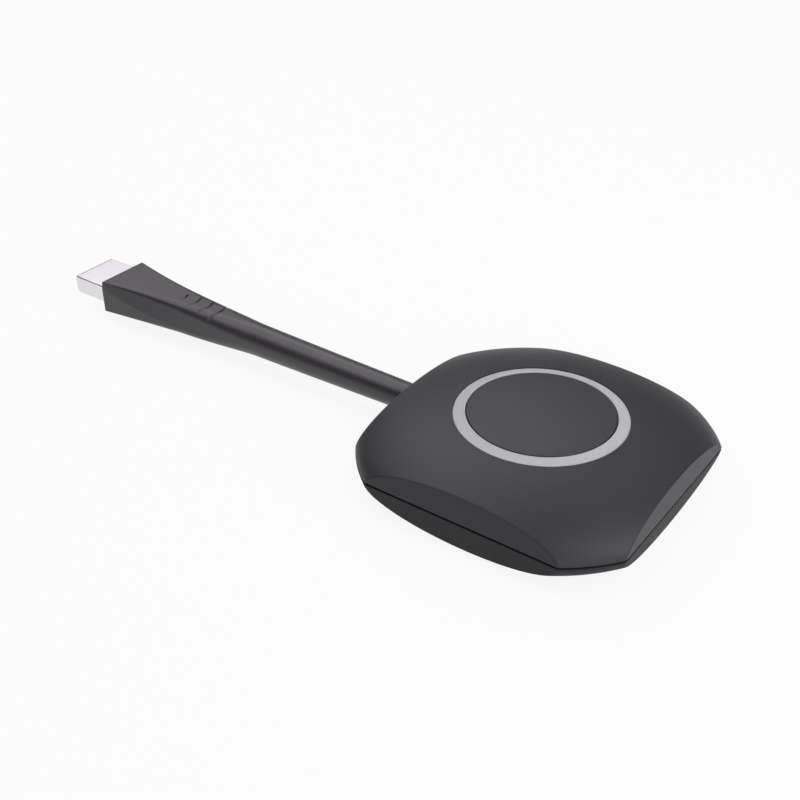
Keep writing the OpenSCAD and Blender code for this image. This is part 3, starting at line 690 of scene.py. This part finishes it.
def makeRing():
    ring = {"inner": 15 * mm, "outer": 17.45 * mm, "drop": 0.28 * mm, "lip": 1.1 * mm,
            "crest": 0.32 * mm, "crestEnd": 0.48 * mm, "crestDrop": 0.1 * mm,
            "legInner": 16.2 * mm, "legEnd": 10 * mm, "flange": 18.75 * mm, "flangeDepth": 0.8 * mm,
            "innerEdge": 0.14 * mm, "outerEdge": 0.08 * mm, "smallEdge": 0.1 * mm, "sides": 256}
    small = ring["smallEdge"]
    top = domeHeight(ring["inner"])
    edge = domeHeight(ring["outer"]) - ring["drop"]
    under = domeHeight(ring["outer"], body["wall"]) - body["fit"]
    flangeTop = domeHeight(ring["flange"], body["wall"]) - body["fit"]
    outline = filleted([
        (ring["inner"], top, ring["innerEdge"]),
        (ring["inner"] + ring["crest"], top, small),
        (ring["inner"] + ring["crestEnd"], top - ring["crestDrop"], small),
        (ring["outer"], edge, ring["outerEdge"]),
        (ring["outer"], under, 0),
        (ring["flange"], flangeTop, small),
        (ring["flange"], flangeTop - ring["flangeDepth"], small),
        (ring["outer"], under - ring["flangeDepth"], 0),
        (ring["outer"], ring["legEnd"], small),
        (ring["legInner"], ring["legEnd"], small),
        (ring["legInner"], top - ring["lip"], 0),
        (ring["inner"], top - ring["lip"], small),
    ])
    piece = revolved("lightRing", outline, ring["sides"])
    return dress(smoothShaded(piece), "housing", "diffuser", "light_ring")


def makeFoot():
    foot = {"radius": 25.6 * mm, "thickness": 1.2 * mm, "lowEdge": 0.3 * mm, "topEdge": 0.1 * mm}
    outline = filleted([(0, 0, 0), (foot["radius"], 0, foot["lowEdge"]),
                        (foot["radius"], foot["thickness"], foot["topEdge"]), (0, foot["thickness"], 0)])
    return dress(smoothShaded(revolved("footPad", outline)), "housing", "foot_rubber", "foot_pad")


makeTopCover()
makeBottomCover()
makeButton()
makeRing()
makeFoot()
print("puck made")


# Tail and plug

tail = {
    "front": 118.3 * mm,
    "axis": 7 * mm,
    "halfWidth": 7 * mm,
    "halfHeight": 3.95 * mm,
    "turnLength": 44 * mm,
    "neck": 3.75 * mm,
    "root": 3.05 * mm,
    "sag": 0.25 * mm,
    "topEdge": 0.25 * mm,
    "lowEdge": 0.25 * mm,
    "shoulderLean": math.radians(20),
    "leanReach": 8 * mm,
    "leanStart": 0.5,
    "creaseRise": 2.2 * mm,
    "creaseDip": 1.95 * mm,
    "creaseEdge": 1 * mm,
    "powers": {"width": 1.28, "crease": 3.2, "lean": 0.8},
    "leastEdge": 0.05 * mm,
    "frontEdge": 0.18 * mm,
    "anchorFront": 27.64 * mm,
    "anchorBack": 25.64 * mm,
    "anchorHalf": (5 * mm, 3.9 * mm),
    "anchorEdge": 0.4 * mm,
    "holeDepth": 5 * mm,
    "holeGap": 0.02 * mm,
}
# each groove is an arc that is wider than the one before it; its walls take a share of its width,
# and it fades out between two values of the surface's upward slope
grooves = {"count": 4, "radius": 1.9 * mm, "growth": 1.5 * mm, "start": 21.5 * mm, "pitch": 3.8 * mm,
           "width": 0.7 * mm, "depth": 0.35 * mm, "halfAngle": math.radians(34), "wallShare": 0.3,
           "fadeEnd": 0.4, "fadeStart": 0.75, "before": 1 * mm, "after": 1.6 * mm}
usb = {"halfWidth": 6 * mm, "halfHeight": 2.25 * mm, "corner": 0.45 * mm, "sheet": 0.3 * mm,
       "tip": 128.8 * mm, "back": 114.3 * mm, "rows": 8,
       "tipInset": 0.1 * mm, "tipLength": 0.9 * mm, "tipShares": (0.3, 0.6, 0.85),
       "window": (2.3 * mm, 2.2 * mm), "windowX": 2.9 * mm, "windowFront": 5.1 * mm,
       "windowCorner": 0.25 * mm, "windowOver": 0.1 * mm, "jointGap": 0.05 * mm, "jointWing": 0.9 * mm,
       "jointNeck": (8.6 * mm, 9.2 * mm), "jointWings": (8.2 * mm, 9.6 * mm), "over": 1 * mm}
# the rolled lip at the mouth: how far back each row lies, how far in, and what its corners lose
lipRows = ((0.03 * mm, 0.04 * mm, 0.05 * mm),
           (0, 0.12 * mm, 0.1 * mm),
           (0.04 * mm, 0.255 * mm, 0.3 * mm))
# how many faces each stretch of half a section has, from the bottom's middle to the top's, and how many
# rows of faces the tail has before, along and behind its grooves
fineSection = {"bottom": 4, "lower": 12, "side": 3, "crease": 4, "shoulder": 6, "upper": 18, "top": 24}
plainSection = {"bottom": 3, "lower": 8, "side": 1, "crease": 1, "shoulder": 1, "upper": 8, "top": 3}
tailRows = {"before": 26, "along": 120, "behind": 44}


def section(halfWidth, halfHeight, upper, lower, counts, crease=0, lean=0, creaseEdge=0):
    # a rounded section as (x, z, outward x, outward z), counted from the bottom's middle over the
    # +X side, where a shoulder leans in from the crease to the upper edge
    edgeZ = halfHeight - upper
    edgeX = halfWidth - (upper + (edgeZ - crease) * math.sin(lean)) / math.cos(lean)
    reach = creaseEdge * math.tan(lean / 2)
    half = []

    def line(start, end, angle, count):
        for k in range(count):
            share = k / count
            x = start[0] + (end[0] - start[0]) * share
            z = start[1] + (end[1] - start[1]) * share
            half.append((x, z, math.cos(angle), math.sin(angle)))

    def arc(centre, radius, first, last, count):
        for k in range(count):
            angle = first + (last - first) * k / count
            half.append((centre[0] + radius * math.cos(angle), centre[1] + radius * math.sin(angle),
                         math.cos(angle), math.sin(angle)))

    shoulder = (halfWidth - reach * math.sin(lean), crease + reach * math.cos(lean))
    upperEdge = (edgeX + upper * math.cos(lean), edgeZ + upper * math.sin(lean))
    line((0, -halfHeight), (halfWidth - lower, -halfHeight), -math.pi / 2, counts["bottom"])
    arc((halfWidth - lower, lower - halfHeight), lower, -math.pi / 2, 0, counts["lower"])
    line((halfWidth, lower - halfHeight), (halfWidth, crease - reach), 0, counts["side"])
    arc((halfWidth - creaseEdge, crease - reach), creaseEdge, 0, lean, counts["crease"])
    line(shoulder, upperEdge, lean, counts["shoulder"])
    arc((edgeX, edgeZ), upper, lean, math.pi / 2, counts["upper"])
    line((edgeX, halfHeight), (0, halfHeight), math.pi / 2, counts["top"])
    return half + [(0, halfHeight, 0, 1)] + [(-x, z, -outX, outZ) for x, z, outX, outZ in half[:0:-1]]


def tailSection(back, inset=0):
    # the section this far behind the housing's front, where turn goes from 0 to 1 as it becomes round
    turn = min(back / tail["turnLength"], 1)
    rest = 1 - turn
    along = (back - tail["turnLength"]) / (tail["front"] - body["halfWidth"] - tail["turnLength"])
    radius = tail["neck"] + (tail["root"] - tail["neck"]) * clamped(along)
    power = tail["powers"]
    halfWidth = radius + (tail["halfWidth"] - tail["neck"]) * rest ** power["width"]
    halfHeight = radius + (tail["halfHeight"] - tail["neck"]) * rest
    crease = tail["creaseRise"] * rest ** power["crease"] - tail["creaseDip"] * math.sin(math.pi * turn)
    least = tail["leastEdge"]
    upper = max(tail["topEdge"] * rest + radius * turn - inset, least)
    lower = max(min(tail["lowEdge"] * rest + radius * turn, halfHeight + crease - least) - inset, least)
    lean = tail["shoulderLean"] * (1 - (1 - tail["leanStart"]) * math.exp(-back / tail["leanReach"]))
    return section(halfWidth - inset, halfHeight - inset, upper, lower, fineSection, crease,
                   lean * rest ** power["lean"], tail["creaseEdge"])


def tailAxis(back):
    # height of the tail's axis, which sags between the body and the housing
    share = min(back / (tail["front"] - body["halfWidth"]), 1)
    return tail["axis"] - tail["sag"] * math.sin(math.pi * share)


def grooveDepth(x, y):
    # depth of the grip grooves at a place on the tail's upper side
    deepest = 0
    for i in range(grooves["count"]):
        radius = grooves["radius"] + i * grooves["growth"]
        centre = tail["front"] - grooves["start"] - i * grooves["pitch"] + radius
        angle = math.atan2(x, centre - y)
        if abs(angle) < grooves["halfAngle"]:
            away = abs(math.hypot(x, centre - y) - radius)
        else:
            end = math.copysign(grooves["halfAngle"], angle)
            away = math.hypot(x - radius * math.sin(end), y - centre + radius * math.cos(end))
        wall = grooves["width"] * grooves["wallShare"]
        deepest = max(deepest, smoothStep((grooves["width"] / 2 - away) / wall))
    return deepest * grooves["depth"]


def tailRing(back, inset=0):
    y = tail["front"] - back
    ring = []
    for x, z, outX, outZ in tailSection(back, inset):
        fade = clamped((outZ - grooves["fadeEnd"]) / (grooves["fadeStart"] - grooves["fadeEnd"]))
        depth = grooveDepth(x, y) * fade
        ring.append((x - outX * depth, y, tailAxis(back) + z - outZ * depth))
    return ring


def sectionRing(halves, corner, y, counts):
    # a plain section with round corners, set at a place along the tail's level axis
    around = section(halves[0], halves[1], corner, corner, counts)
    return [(x, y, tail["axis"] + z) for x, z, _, _ in around]


def makeTail():
    front, edge = tail["front"], tail["frontEdge"]
    grooveStart = grooves["start"] - grooves["before"]
    grooveEnd = grooves["start"] + (grooves["count"] - 1) * grooves["pitch"] + grooves["after"]
    backs = spread(edge, grooveStart, tailRows["before"])[:-1]
    backs += spread(grooveStart, grooveEnd, tailRows["along"])[:-1]
    backs += spread(grooveEnd, front - tail["anchorFront"], tailRows["behind"])
    hole = (usb["halfWidth"] + tail["holeGap"], usb["halfHeight"] + tail["holeGap"])
    deep = front - tail["holeDepth"]
    rows = [sectionRing(hole, usb["corner"], y, fineSection) for y in (deep, front)]
    rows.insert(0, [(0, deep, tail["axis"])] * len(rows[0]))
    for turn in reversed(quarterTurns):
        rows.append(tailRing(edge * (1 - math.sin(turn)), edge * (1 - math.cos(turn))))
    rows += [tailRing(back) for back in backs]
    rows += [sectionRing(tail["anchorHalf"], tail["anchorEdge"], y, fineSection)
             for y in (tail["anchorFront"], tail["anchorBack"])]
    rows.append([(0, tail["anchorBack"], tail["axis"])] * len(rows[0]))
    skin = Skin()
    skin.rows(rows)
    return dress(smoothShaded(skin.piece("tailSleeve"), sharpAngle=40), "housing", "tail", "tail_sleeve")


def barCutter(name, corners, low, high):
    # an upright prism between two heights
    skin = Skin()
    rings = [[(x, y, z) for x, y in corners] for z in (low, high)]
    skin.rows(rings)
    skin.face(*rings[0])
    skin.face(*rings[1])
    return skin.piece(name)


def makeUsbShell():
    sheet, tip, lead, corner = usb["sheet"], usb["tip"], usb["tipInset"], usb["corner"]
    leadStart = tip - usb["tipLength"]

    def ring(y, inset, cornerLoss=0):
        halves = (usb["halfWidth"] - inset, usb["halfHeight"] - inset)
        return sectionRing(halves, corner - cornerLoss, y, plainSection)

    rows = [ring(usb["back"], sheet, sheet)]
    rows += [ring(y, 0) for y in spread(usb["back"], leadStart, usb["rows"])]
    rows += [ring(leadStart + usb["tipLength"] * share, lead * share ** 2)
             for share in usb["tipShares"]]
    rows += [ring(tip - back, lead + inset, loss) for back, inset, loss in lipRows]
    rows += [ring(leadStart, sheet, sheet), rows[0]]
    skin = Skin()
    skin.rows(rows)
    bottom = tail["axis"] - usb["halfHeight"]
    wide, long = usb["window"]
    front, over = tip - usb["windowFront"], usb["over"]
    cutters = []
    for side in (-1, 1):
        left, right = side * usb["windowX"] - wide / 2, side * usb["windowX"] + wide / 2
        corners = ((left, front - long), (right, front - long), (right, front), (left, front))
        outline = filleted([(x, y, usb["windowCorner"]) for x, y in corners], steps=4)
        cutters.append(barCutter("window", outline, bottom - over, bottom + sheet + usb["windowOver"]))
    # the sheet's joint runs along the underside and locks with a dovetail
    wing, neck, wings = usb["jointWing"], usb["jointNeck"], usb["jointWings"]
    path = [Vector(p) for p in ((0, usb["back"] - over), (0, tip - neck[1]), (-wing, tip - wings[1]),
                                (-wing, tip - wings[0]), (0, tip - neck[0]), (0, tip + over))]
    for start, end in zip(path, path[1:]):
        along = (end - start).normalized() * usb["jointGap"] / 2
        across = Vector((-along.y, along.x))
        near, far = start - along, end + along
        corners = [near - across, far - across, far + across, near + across]
        cutters.append(barCutter("joint", corners, bottom - over, bottom + sheet / 2))
    shell = cutAway(skin.piece("usbShell"), cutters)
    return dress(smoothShaded(shell, sharpAngle=40), "housing", "plug_metal", "usb_shell")


makeTail()
makeUsbShell()
print("tail and plug made")


# Finishes and soft edges of the construction's own pieces

bevel = {"segments": 2, "angle": math.radians(40)}
# the width of each piece's soft edges, in millimetres
softEdges = {"usb_tongue": 0.12, "usb_contacts": 0.05, "guide_frame": 0.08, "circuit_board": 0.06,
             "switch_base": 0.1, "switch_stem": 0.1, "system_chip": 0.06, "memory_chip": 0.06,
             "flash_chip": 0.06, "chip_shield": 0.05, "heat_spreader": 0.06, "radio_shield": 0.08,
             "wire_plug": 0.05, "wire_socket": 0.06, "plug_core": 0.1, "power_inductors": 0.15}

for part in frame["record"]["subparts"]:
    node = frame["nodes"][part["node"]]
    node.data.materials.clear()
    node.data.materials.append(finishes[part["material_slot"]])
    if part["node"] in softEdges:
        soft = node.modifiers.new("softEdges", "BEVEL")
        soft.width, soft.segments = softEdges[part["node"]] * mm, bevel["segments"]
        soft.limit_method, soft.angle_limit = "ANGLE", bevel["angle"]
print("inner pieces dressed")


# Floor, light and background

white = (1, 1, 1, 1)
stage = {
    "floorSize": 6.0,
    "floorColour": (0.75, 0.75, 0.75, 1),
    "floorWhite": 0.9,
    "middle": (0.02, 0.04, 0),
    "lampReach": 0.7,
    "lampSize": 0.45,
    "lampColour": (0.985, 0.975, 1.0),
    "wallColour": (0.03, 0.03, 0.03, 1),
    "whiteRise": 0.1,
}


def makeFloor():
    # mostly white to the camera and in mirrors and glass, but a plain pale floor to the light
    skin = Skin()
    half, (x, y, _) = stage["floorSize"] / 2, stage["middle"]
    corners = ((-half, -half), (half, -half), (half, half), (-half, half))
    skin.face(*((x + across, y + along, 0) for across, along in corners))
    floor = skin.piece("floor")
    material = bpy.data.materials.new("paleFloor")
    shader = Shader(material)
    share = shader.add("ShaderNodeMath", {"operation": "MULTIPLY", "use_clamp": True},
                       {0: shader.rays("Camera") + shader.rays("Glossy") + shader.rays("Transmission"),
                        1: stage["floorWhite"]})
    plain = shader.add("ShaderNodeBsdfDiffuse", {}, {"Color": stage["floorColour"]})
    bright = shader.add("ShaderNodeEmission", {}, {"Color": white, "Strength": 1.0})
    both = shader.add("ShaderNodeMixShader", {}, {0: share, 1: plain, 2: bright})
    shader.add("ShaderNodeOutputMaterial", {}, {"Surface": both})
    floor.data.materials.append(material)


def makeWorld():
    # white to the camera, and in mirrors and glass white near the floor only, with dark walls above
    world = bpy.data.worlds.new("studio")
    scene.world = world
    shader = Shader(world)
    up = shader.height(shader.add("ShaderNodeTexCoord", output="Generated"))
    low = shader.add("ShaderNodeMapRange", {}, {"Value": up, "From Min": 0, "From Max": stage["whiteRise"],
                                                "To Min": 1, "To Max": 0})
    mirrored = (shader.rays("Glossy") + shader.rays("Transmission")) * low
    share = shader.add("ShaderNodeMath", {"operation": "ADD", "use_clamp": True},
                       {0: shader.rays("Camera"), 1: mirrored})
    colour = shader.mixColour(share, stage["wallColour"], white)
    sky = shader.add("ShaderNodeBackground", {}, {"Color": colour, "Strength": 1.0})
    shader.add("ShaderNodeOutputWorld", {}, {"Surface": sky})


# softboxes: direction and height from the stage's middle, in degrees, and power in watts
softboxes = {
    "nearHigh": {"azimuth": 270, "elevation": 50, "power": 2.0},
    "nearLow": {"azimuth": 270, "elevation": 20, "power": 1.3},
    "leftLow": {"azimuth": 225, "elevation": 20, "power": 1.09},
    "leftHigh": {"azimuth": 120, "elevation": 62, "power": 1.62},
    "farMiddle": {"azimuth": 70, "elevation": 35, "power": 0.4},
    "farHigh": {"azimuth": 45, "elevation": 50, "power": 1.27},
    "rightHigh": {"azimuth": 0, "elevation": 50, "power": 0.49},
}


def makeSoftbox(name, box):
    data = bpy.data.lights.new(name, "AREA")
    data.shape = "SQUARE"
    data.size = stage["lampSize"]
    data.energy = box["power"]
    data.color = stage["lampColour"]
    lamp = bpy.data.objects.new(name, data)
    turn, rise = math.radians(box["azimuth"]), math.radians(box["elevation"])
    away = Vector((math.cos(turn) * math.cos(rise), math.sin(turn) * math.cos(rise), math.sin(rise)))
    lamp.location = Vector(stage["middle"]) + away * stage["lampReach"]
    lamp.rotation_euler = (-away).to_track_quat("-Z", "Y").to_euler()
    scene.collection.objects.link(lamp)


makeFloor()
makeWorld()
for lampName, lampBox in softboxes.items():
    makeSoftbox(lampName, lampBox)
scene.view_settings.view_transform = "Standard"
print("studio made")
